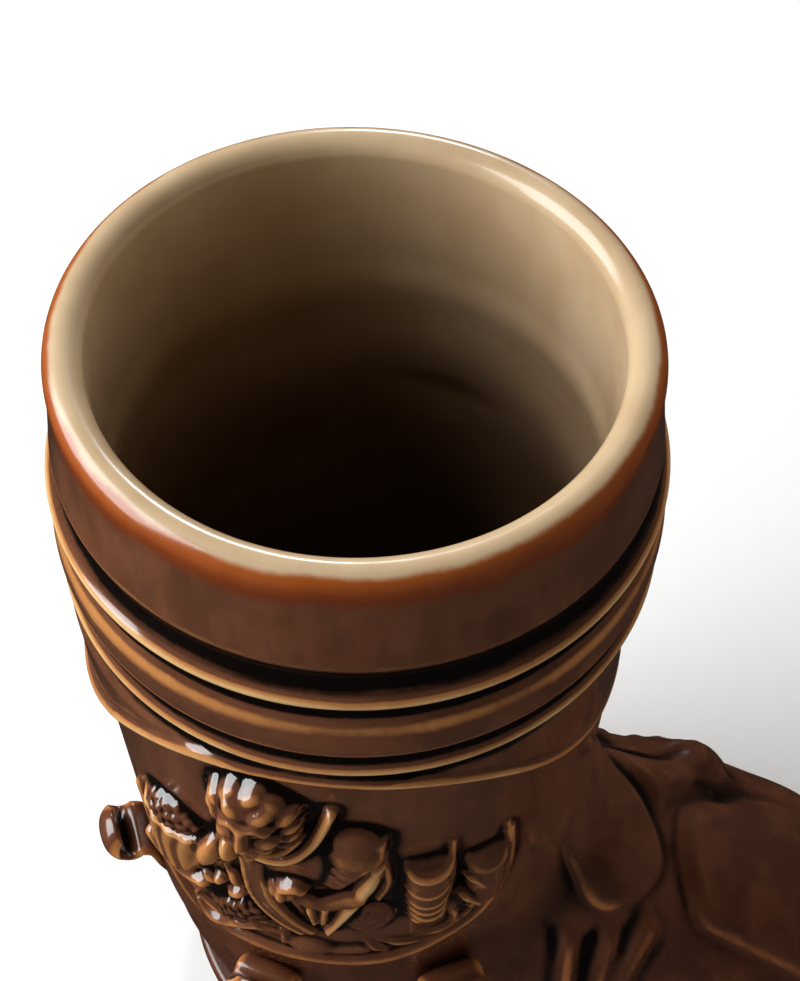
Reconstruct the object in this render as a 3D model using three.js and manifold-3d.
// A boot-shaped ceramic beer stein: hollow leg and foot, layered sole, beaded cuff and luted relief.
// Millimetres, +Z up. The toe points along +X, the leg stands on the Z axis and the table is z = 0.

import * as THREE from "three";
import { mergeVertices } from "three/addons/utils/BufferGeometryUtils.js";
import Module from "manifold-3d";

// Overall sizes
const STEIN_HEIGHT = 149;
const RIM_RADIUS = 32.5;
const CALF_SWELL = 0.7;
const CALF_HEIGHT = 104;
const ANKLE_TAPER = 1.2;
const ANKLE_HEIGHT = 32;
const COUNTER_TAPER = 4.5;
const TOE_REACH = 85;
const CALF_RADIUS = RIM_RADIUS + CALF_SWELL;
const ANKLE_RADIUS = RIM_RADIUS - ANKLE_TAPER;
const COUNTER_RADIUS = RIM_RADIUS - COUNTER_TAPER;

// Walls and fits
const LIP_THICKNESS = 4.2;
const BORE_RADIUS = RIM_RADIUS - LIP_THICKNESS;
const LINER_THICKNESS = 0.7;
const FOOT_WALL = 4.4;
const FOOT_FLOOR = 4.5;
const SEAT_GAP = 0.3;
const SEAM_HEIGHT = 62;

// Sole layers
const HEEL_HEIGHT = 5;
const WELT_THICKNESS = 4;
const WELT_OVERHANG = 0.5;
const HEEL_FRONT = 6;
const FORE_SOLE_BACK = 26;
const SOLE_TOP = HEEL_HEIGHT + WELT_THICKNESS;

// Foot shape
const FOOT_HALF_WIDTH = 27;
const INSTEP_HEIGHT = 60;
const VAMP_HEIGHT = 45;
const VAMP_REACH = 54;
const TOE_HEIGHT = 36;
const TOE_ROUND = 24;
const ARCH_POWER = 2.4;

// Cuff collar
const CUFF_DROP = 16.8;
const HEM_DROP = 31;
const HEM_WAVE = 11;
const HEM_RISE = 1.9;
const RIDGE_RISE = 1.9;
const BEAD_RISE = 2.5;
const COLLAR_RISE = 0.7;

// Raised panels on the foot
const PANEL_THICKNESS = 1.5;
const TOE_CAP_BACK = 48.5;
const TOE_CAP_HALF_WIDTH = 13;
const TOE_CAP_CORNER = 8;
const TOE_CAP_FLARE = 2;
const TOE_CAP_LIFT = 4;
const FLAP_TO_CAP = 2;
const FLAP_FRONT = TOE_CAP_BACK - FLAP_TO_CAP;
const FLAP_TUCK = 3;
const FLAP_HALF_WIDTH = 15.5;
const FLAP_PARTING = -26;

// Curled scrolls round the ankle
const SCROLL_RADIUS = 3;
const SCROLL_EYE_RADIUS = 1;
const SCROLL_WIDTH = 9;
const SCROLL_STEM = 17;
const SCROLL_STEM_THICKNESS = 1.7;
const SCROLL_LEAN = 5.6;
const SCROLL_LIFT = 2.3;
const SCROLL_ANGLES = [-57, -100, -150, 150, 100, 57];

// Relief sprigs
const SPRIG_EDGE = 0.6;
const SPRIG_END = 0.5;
const SCENE_DROP = 2.2;
const SCENE_DEPTH = 59.8;

const SEGMENTS = 40;

const wasm = await Module();
wasm.setup();

const brownGlaze = new THREE.MeshStandardMaterial({ color: 0x5a301a, roughness: 0.16, metalness: 0 });
const amberGlaze = new THREE.MeshStandardMaterial({ color: 0x7c4520, roughness: 0.16, metalness: 0 });
const darkGlaze = new THREE.MeshStandardMaterial({ color: 0x3a1e12, roughness: 0.2, metalness: 0 });
const creamGlaze = new THREE.MeshStandardMaterial({ color: 0xd3b690, roughness: 0.2, metalness: 0 });

const stein = new THREE.Group();

function addPiece(name, solid, material) {
  const mesh = new THREE.Mesh(asGeometry(solid), material);
  mesh.name = name;
  stein.add(mesh);
}

// Solids

function asSolid(geometry) {
  geometry.deleteAttribute("normal");
  geometry.deleteAttribute("uv");
  const merged = mergeVertices(geometry, 1e-4);
  const make = (triangles) => new wasm.Manifold(
    new wasm.Mesh({
      numProp: 3,
      vertProperties: new Float32Array(merged.attributes.position.array),
      triVerts: new Uint32Array(triangles),
    }),
  );
  const triangles = Array.from(merged.index.array);
  const solid = make(triangles);
  return solid.volume() > 0 ? solid : make(triangles.reverse());
}

function asGeometry(solid) {
  const mesh = solid.getMesh();
  const geometry = new THREE.BufferGeometry();
  geometry.setAttribute("position", new THREE.Float32BufferAttribute(mesh.vertProperties, 3));
  geometry.setIndex(Array.from(mesh.triVerts));
  geometry.computeVertexNormals();
  return geometry;
}

// A solid of revolution about Z from a profile of [radius, height] points.
function turned(profile) {
  const points = profile.map(([radius, height]) => new THREE.Vector2(radius, height));
  return asSolid(new THREE.LatheGeometry(points, SEGMENTS).rotateX(Math.PI / 2));
}

// Joins a grid of points, grid[row][column], into triangles. The columns may close on themselves.
function gridTriangles(rows, columns, first, closed) {
  const triangles = [];
  const steps = closed ? columns : columns - 1;
  for (let i = 0; i < rows - 1; i += 1) {
    for (let j = 0; j < steps; j += 1) {
      const a = first + i * columns + j;
      const b = first + i * columns + (j + 1) % columns;
      const c = a + columns;
      const d = b + columns;
      triangles.push(a, b, d, a, d, c);
    }
  }
  return triangles;
}

function meshSolid(points, triangles) {
  const geometry = new THREE.BufferGeometry();
  geometry.setAttribute("position", new THREE.Float32BufferAttribute(points.flat(), 3));
  geometry.setIndex(triangles);
  return asSolid(geometry);
}

// A solid skinned over closed rings of equal length, with flat ends.
function loft(rings) {
  const count = rings[0].length;
  const points = rings.flat();
  const triangles = gridTriangles(rings.length, count, 0, true);
  const last = (rings.length - 1) * count;
  for (let j = 1; j < count - 1; j += 1) {
    triangles.push(0, j + 1, j);
    triangles.push(last, last + j, last + j + 1);
  }
  return meshSolid(points, triangles);
}

// An upright prism over a plan outline of [x, y] points.
function prism(outline, bottom, top) {
  const shape = new THREE.Shape(outline.map(([x, y]) => new THREE.Vector2(x, y)));
  const geometry = new THREE.ExtrudeGeometry(shape, { depth: top - bottom, bevelEnabled: false });
  return asSolid(geometry.translate(0, 0, bottom));
}

function mirrored(outline) {
  return outline.map(([x, y]) => [x, -y]);
}

// Leg

function legRadius(z) {
  const stations = [
    [SOLE_TOP, COUNTER_RADIUS],
    [ANKLE_HEIGHT, ANKLE_RADIUS],
    [CALF_HEIGHT, CALF_RADIUS],
    [STEIN_HEIGHT, RIM_RADIUS],
  ];
  let k = 0;
  while (k < stations.length - 2 && z > stations[k + 1][0]) {
    k += 1;
  }
  const [z0, r0] = stations[k];
  const [z1, r1] = stations[k + 1];
  return r0 + (r1 - r0) * (z - z0) / (z1 - z0);
}

const lipRadius = LIP_THICKNESS / 2;
const lipCentre = BORE_RADIUS + lipRadius;
const lipHeight = STEIN_HEIGHT - lipRadius;

// Points on an arc of the rounded lip, from one angle to another in degrees.
function lipArc(radius, from, to, steps) {
  return Array.from({ length: steps + 1 }, (_, k) => {
    const angle = THREE.MathUtils.degToRad(from + (to - from) * k / steps);
    return [lipCentre + radius * Math.cos(angle), lipHeight + radius * Math.sin(angle)];
  });
}

function makeLegTube() {
  const inner = BORE_RADIUS + LINER_THICKNESS + SEAT_GAP;
  const core = lipCentre - inner;
  const shoulder = lipHeight - LINER_THICKNESS;
  return turned([
    [inner, SEAM_HEIGHT],
    [legRadius(SEAM_HEIGHT), SEAM_HEIGHT],
    [CALF_RADIUS, CALF_HEIGHT],
    [legRadius(shoulder), shoulder],
    ...lipArc(core, 0, 180, 6),
    [inner, SEAM_HEIGHT],
  ]);
}

function makeLiner() {
  const outer = BORE_RADIUS + LINER_THICKNESS;
  return turned([
    [BORE_RADIUS, SEAM_HEIGHT],
    [outer, SEAM_HEIGHT],
    ...lipArc(lipRadius - LINER_THICKNESS, 180, 5, 7),
    ...lipArc(lipRadius, 5, 180, 8),
    [BORE_RADIUS, SEAM_HEIGHT],
  ]);
}

// Cuff collar

const cuffTop = STEIN_HEIGHT - CUFF_DROP;
const hemMiddle = cuffTop - HEM_DROP;

// The hem is high on the two sides of the boot and low at the shin and the calf.
function hemHeight(angle) {
  return hemMiddle - HEM_WAVE * Math.cos(2 * angle);
}

// Mouldings as [drop below the collar's top, rise above the leg].
const mouldings = [
  [0, COLLAR_RISE],
  [1.6, COLLAR_RISE],
  [2.6, RIDGE_RISE],
  [4, RIDGE_RISE],
  [5, COLLAR_RISE],
  [6.2, COLLAR_RISE],
  [7.4, BEAD_RISE * 0.75],
  [9, BEAD_RISE],
  [11, BEAD_RISE * 0.8],
  [12.8, COLLAR_RISE],
  [13.8, COLLAR_RISE],
  [14.8, RIDGE_RISE],
  [15.8, RIDGE_RISE],
  [16.8, COLLAR_RISE],
];

// Rows of the hem panel as [share of the way to the hem, rise above the leg].
const hemRows = [
  [0.1, COLLAR_RISE + 0.2],
  [0.68, COLLAR_RISE + 0.3],
  [0.8, HEM_RISE],
  [0.95, HEM_RISE],
  [1, COLLAR_RISE],
];

function makeCuffCollar() {
  const points = [];
  const lastDrop = mouldings[mouldings.length - 1][0];
  const rows = [
    ...mouldings.map(([drop, rise]) => ({ height: () => cuffTop - drop, rise })),
    ...hemRows.map(([share, rise]) => ({
      height: (angle) => THREE.MathUtils.lerp(cuffTop - lastDrop, hemHeight(angle), share),
      rise,
    })),
  ];
  const back = [...rows].reverse().filter((_, k) => k % 4 === 0 || k === rows.length - 1);
  const loop = [...rows, ...back.map(({ height }) => ({ height, rise: SEAT_GAP }))];
  for (const { height, rise } of loop) {
    for (let j = 0; j < SEGMENTS; j += 1) {
      const angle = 2 * Math.PI * j / SEGMENTS;
      const z = height(angle);
      const radius = legRadius(z) + rise;
      points.push([radius * Math.cos(angle), radius * Math.sin(angle), z]);
    }
  }
  const triangles = gridTriangles(loop.length, SEGMENTS, 0, true);
  const last = (loop.length - 1) * SEGMENTS;
  for (let j = 0; j < SEGMENTS; j += 1) {
    const next = (j + 1) % SEGMENTS;
    triangles.push(last + j, last + next, next, last + j, next, j);
  }
  return meshSolid(points, triangles);
}

// Foot

const instepLine = new THREE.SplineCurve([
  new THREE.Vector2(0, INSTEP_HEIGHT + 3),
  new THREE.Vector2(ANKLE_RADIUS, INSTEP_HEIGHT),
  new THREE.Vector2(VAMP_REACH, VAMP_HEIGHT),
  new THREE.Vector2(TOE_REACH - TOE_ROUND / 2, TOE_HEIGHT),
  new THREE.Vector2(TOE_REACH, TOE_HEIGHT - 4),
]).getPoints(60);

function instepHeight(x) {
  const k = instepLine.findIndex((point) => point.x >= x);
  if (k <= 0) {
    return k < 0 ? instepLine[instepLine.length - 1].y : instepLine[0].y;
  }
  const before = instepLine[k - 1];
  const after = instepLine[k];
  return THREE.MathUtils.mapLinear(x, before.x, after.x, before.y, after.y);
}

// How much of its width the foot keeps towards the rounded toe, from 1 to 0 at the tip.
function toeRounding(x) {
  const beyond = Math.max(0, x - (TOE_REACH - TOE_ROUND)) / TOE_ROUND;
  return Math.sqrt(Math.max(0, 1 - beyond * beyond));
}

// The forefoot as arched sections along X, grown or shrunk all round, standing on a floor height.
function forefoot(grow, floor) {
  const rings = [];
  const stations = 15;
  for (let i = 0; i < stations; i += 1) {
    const share = Math.sin(Math.PI / 2 * i / (stations - 1)) * 0.994;
    const x = TOE_REACH * share;
    const rounding = toeRounding(x);
    const half = FOOT_HALF_WIDTH * rounding + grow * Math.max(0.3, rounding);
    const crown = (instepHeight(x) - SOLE_TOP) * rounding ** 0.6 + SOLE_TOP + grow;
    const ring = [];
    for (let k = 0; k <= 12; k += 1) {
      const angle = Math.PI * k / 12;
      const across = Math.sign(Math.cos(angle)) * Math.abs(Math.cos(angle)) ** (2 / ARCH_POWER);
      const up = Math.sin(angle) ** (2 / ARCH_POWER);
      ring.push([x * (1 + grow / TOE_REACH), half * across, floor + Math.max(1, crown - floor) * up]);
    }
    rings.push(ring);
  }
  return loft(rings);
}

function ankle(grow, floor, top) {
  const profile = [[0, floor], [legRadius(floor) + grow, floor]];
  if (ANKLE_HEIGHT < top) {
    profile.push([ANKLE_RADIUS + grow, ANKLE_HEIGHT]);
  }
  profile.push([legRadius(top) + grow, top], [0, top]);
  return turned(profile);
}

// The foot and ankle together, trimmed level with the seam under the leg.
function bootSolid(grow, floor, top) {
  const side = TOE_REACH + FOOT_HALF_WIDTH;
  const room = prism([[-side, -side], [side, -side], [side, side], [-side, side]], floor, top);
  return ankle(grow, floor, top).add(forefoot(grow, floor)).intersect(room);
}

function makeBootFoot() {
  const hollow = bootSolid(-FOOT_WALL, SOLE_TOP + FOOT_FLOOR, SEAM_HEIGHT + 1);
  return bootSolid(0, SOLE_TOP, SEAM_HEIGHT).subtract(hollow);
}

// A raised panel that follows the foot, inside a plan outline.
function footPanel(outline, bottom) {
  const top = SEAM_HEIGHT - SEAT_GAP;
  const outer = bootSolid(SEAT_GAP + PANEL_THICKNESS, SOLE_TOP, top);
  const inner = bootSolid(SEAT_GAP, SOLE_TOP - 1, top + 1);
  return outer.subtract(inner).intersect(prism(outline, bottom, top + 1));
}

function makeToeCap() {
  const middle = TOE_CAP_HALF_WIDTH - TOE_CAP_CORNER;
  const near = [];
  for (let k = 0; k <= 4; k += 1) {
    const angle = Math.PI / 2 * k / 4;
    const x = TOE_CAP_BACK + TOE_CAP_CORNER * (1 - Math.cos(angle));
    near.push([x, middle + TOE_CAP_CORNER * Math.sin(angle)]);
  }
  near.push([TOE_REACH + PANEL_THICKNESS + 1, TOE_CAP_HALF_WIDTH + TOE_CAP_FLARE]);
  return footPanel([...mirrored(near).reverse(), ...near].reverse(), SOLE_TOP + TOE_CAP_LIFT);
}

// Half an ellipse in plan over the instep, on one side of a slanting ridge. side is -1 for -Y.
function flapOutline(side) {
  const back = ANKLE_RADIUS - FLAP_TUCK;
  const reach = (FLAP_FRONT - back) / 2;
  const outline = [];
  for (let k = 0; k <= 10; k += 1) {
    const angle = THREE.MathUtils.degToRad(FLAP_PARTING + side * 18 * k);
    outline.push([back + reach * (1 + Math.cos(angle)), side * SEAT_GAP + FLAP_HALF_WIDTH * Math.sin(angle)]);
  }
  return side < 0 ? outline : outline.reverse();
}

// Sole

// Half the width of the sole's plan at x, grown all round.
function planHalfWidth(x, grow) {
  const heel = COUNTER_RADIUS + grow;
  const round = Math.sqrt(Math.max(0, heel * heel - x * x));
  const toe = (FOOT_HALF_WIDTH + grow) * toeRounding(x * TOE_REACH / (TOE_REACH + grow));
  return x < 0 ? round : Math.max(round, toe);
}

// A slab under part of the foot, from one x to another.
function soleSlab(from, to, grow, bottom, top) {
  const steps = 26;
  const near = [];
  for (let k = 0; k <= steps; k += 1) {
    const share = (1 - Math.cos(Math.PI * k / steps)) / 2;
    const x = THREE.MathUtils.lerp(from, to, share);
    near.push([x, Math.max(0.4, planHalfWidth(x, grow))]);
  }
  return prism([...near, ...mirrored(near).reverse()].reverse(), bottom, top);
}

// Ankle scrolls

// The scene hangs under the hem of the cuff, and the scrolls roll over in front of the scene's lower edge.
const sceneTop = hemMiddle + HEM_WAVE - SCENE_DROP;
const scrollHeight = sceneTop - SCENE_DEPTH + SCROLL_LIFT;

// A leaf that climbs the ankle, leans out over the border of the scene and ends in a roll.
function makeScroll(degrees) {
  const seat = legRadius(scrollHeight) + SEAT_GAP;
  const low = scrollHeight - SCROLL_STEM;
  const neck = scrollHeight - 2.3 * SCROLL_RADIUS;
  const shape = new THREE.Shape();
  shape.moveTo(0, low);
  shape.lineTo(SCROLL_STEM_THICKNESS * 0.5, low);
  shape.lineTo(SCROLL_STEM_THICKNESS, neck);
  shape.absarc(SCROLL_LEAN, scrollHeight, SCROLL_RADIUS, -Math.PI * 0.6, Math.PI * 1.03, false);
  shape.lineTo(SCROLL_LEAN - SCROLL_RADIUS * 0.95, scrollHeight - SCROLL_RADIUS * 0.73);
  shape.lineTo(0, neck + SCROLL_STEM_THICKNESS * 0.8);
  const eye = new THREE.Path();
  eye.absarc(SCROLL_LEAN, scrollHeight, SCROLL_EYE_RADIUS, 0, 2 * Math.PI, true);
  shape.holes.push(eye);
  const geometry = new THREE.ExtrudeGeometry(shape, {
    depth: SCROLL_WIDTH,
    bevelEnabled: false,
    curveSegments: 7,
  });
  geometry.translate(seat, 0, -SCROLL_WIDTH / 2);
  geometry.rotateX(Math.PI / 2);
  geometry.rotateZ(THREE.MathUtils.degToRad(degrees));
  return asSolid(geometry).subtract(bootSolid(SEAT_GAP, SOLE_TOP, SEAM_HEIGHT));
}

// Relief

// A sprig on the side of the leg, in hundredths of the scene's depth. Its spine is a list of [across, drop]
// points: the distance round the leg from the middle of that side, towards the toe, and the drop below the
// scene's top.
function sprig(side, { spine, halfWidth, crown, rows = 8, columns = 4 }) {
  const unit = SCENE_DEPTH / 100;
  const points = spine.map(([across, drop]) => new THREE.Vector2(across * unit, sceneTop - drop * unit));
  const curve = new THREE.SplineCurve(points);
  const front = [];
  const back = [];
  for (let i = 0; i <= rows; i += 1) {
    const u = i / rows;
    const centre = curve.getPoint(u);
    const along = curve.getTangent(u);
    const half = Math.max(SPRIG_END, halfWidth(u) * unit);
    for (let j = 0; j <= columns; j += 1) {
      const v = 2 * j / columns - 1;
      const s = centre.x - along.y * half * v;
      const z = centre.y + along.x * half * v;
      const angle = -Math.PI / 2 + s / CALF_RADIUS;
      const seat = legRadius(z) + SEAT_GAP;
      const rise = SPRIG_EDGE + crown(u) * unit * Math.sqrt(Math.max(0, 1 - v * v));
      const place = (radius) => [radius * Math.cos(angle), -side * radius * Math.sin(angle), z];
      front.push(place(seat + rise));
      back.push(place(seat));
    }
  }
  const width = columns + 1;
  const count = front.length;
  const triangles = gridTriangles(rows + 1, width, 0, false);
  const behind = gridTriangles(rows + 1, width, count, false);
  for (let k = 0; k < behind.length; k += 3) {
    triangles.push(behind[k], behind[k + 2], behind[k + 1]);
  }
  const border = [];
  for (let j = 0; j < width; j += 1) {
    border.push(j);
  }
  for (let i = 1; i <= rows; i += 1) {
    border.push(i * width + columns);
  }
  for (let j = columns - 1; j >= 0; j -= 1) {
    border.push(rows * width + j);
  }
  for (let i = rows - 1; i > 0; i -= 1) {
    border.push(i * width);
  }
  border.forEach((a, k) => {
    const b = border[(k + 1) % border.length];
    triangles.push(a, a + count, b + count, a, b + count, b);
  });
  return meshSolid([...front, ...back], triangles);
}

const oval = (size) => (u) => size * Math.sqrt(Math.max(0, 1 - (2 * u - 1) ** 2));
const taper = (from, to) => (u) => THREE.MathUtils.lerp(from, to, u);
const rounded = (size) => (u) => size * Math.min(1, Math.sqrt(Math.max(0, 6 * Math.min(u, 1 - u))));

// One tavern scene in a shell-shaped cartouche, used on both sides of the leg.
const scene = {
  reveller_head: {
    spine: [[-2.5, 0], [-2.5, 22.4]],
    halfWidth: oval(8.7),
    crown: oval(9),
  },
  reveller_shoulder: {
    spine: [[12, 15.7], [12, 28.4]],
    halfWidth: oval(6.7),
    crown: oval(6),
  },
  reveller_coat: {
    spine: [[3.3, 30.1], [4.7, 61.9]],
    halfWidth: taper(7.7, 1.7),
    crown: taper(5, 2.3),
  },
  reveller_left_arm: {
    spine: [[-10.4, 40.8], [-4.7, 55.2], [2.3, 70.9]],
    halfWidth: rounded(3),
    crown: rounded(3.7),
  },
  reveller_right_arm: {
    spine: [[20.4, 30.8], [14.7, 51.8], [8.4, 70.9]],
    halfWidth: rounded(3),
    crown: rounded(4),
  },
  hop_vine: {
    spine: [[-13.7, 19.2], [-18.1, 30.1], [-17.4, 43.5]],
    halfWidth: rounded(2.3),
    crown: rounded(3),
  },
  barley_sheaf: {
    spine: [[-30.1, 36.8], [-28.8, 60.2], [-30.8, 81.9]],
    halfWidth: (u) => 8 - 2.7 * Math.sin(Math.PI * u),
    crown: taper(4.3, 3),
  },
  hop_cone: {
    spine: [[-8.7, 79.6], [-20.7, 83.3]],
    halfWidth: oval(5.7),
    crown: oval(4.3),
  },
  front_tankard: {
    spine: [[26.1, 26.1], [26.4, 66.2]],
    halfWidth: taper(4.2, 3.3),
    crown: taper(4.3, 3.3),
  },
  rear_tankard: {
    spine: [[37.5, 29.4], [36.1, 61.2]],
    halfWidth: taper(4.5, 3.3),
    crown: taper(4.3, 3.3),
  },
  cartouche_rim: {
    spine: [
      [-42.8, 50.2],
      [-41.1, 81.9],
      [-23.4, 97.8],
      [1.7, 95],
      [34.3, 77.9],
      [43.5, 63.5],
      [45.8, 38.5],
    ],
    halfWidth: rounded(2.2),
    crown: rounded(2.5),
    rows: 24,
  },
};

// Assembly

addPiece("leg_tube", makeLegTube(), brownGlaze);
addPiece("liner_glaze", makeLiner(), creamGlaze);
addPiece("cuff_collar", makeCuffCollar(), amberGlaze);
addPiece("boot_foot", makeBootFoot(), darkGlaze);
addPiece("toe_cap", makeToeCap(), darkGlaze);
addPiece("instep_flap_right", footPanel(flapOutline(-1), SOLE_TOP), darkGlaze);
addPiece("instep_flap_left", footPanel(flapOutline(1), SOLE_TOP), darkGlaze);

const toeEnd = TOE_REACH + WELT_OVERHANG;
const heelEnd = -COUNTER_RADIUS - WELT_OVERHANG;
addPiece("sole_welt", soleSlab(heelEnd, toeEnd, WELT_OVERHANG, HEEL_HEIGHT, SOLE_TOP), darkGlaze);
addPiece("heel_block", soleSlab(-COUNTER_RADIUS, HEEL_FRONT, 0, 0, HEEL_HEIGHT), darkGlaze);
addPiece("fore_sole", soleSlab(FORE_SOLE_BACK, TOE_REACH, 0, 0, HEEL_HEIGHT), darkGlaze);

SCROLL_ANGLES.forEach((degrees, k) => {
  addPiece(`ankle_scroll_${k + 1}`, makeScroll(degrees), amberGlaze);
});

for (const [name, shape] of Object.entries(scene)) {
  addPiece(`${name}_right`, sprig(-1, shape), amberGlaze);
  addPiece(`${name}_left`, sprig(1, shape), amberGlaze);
}

export default stein;
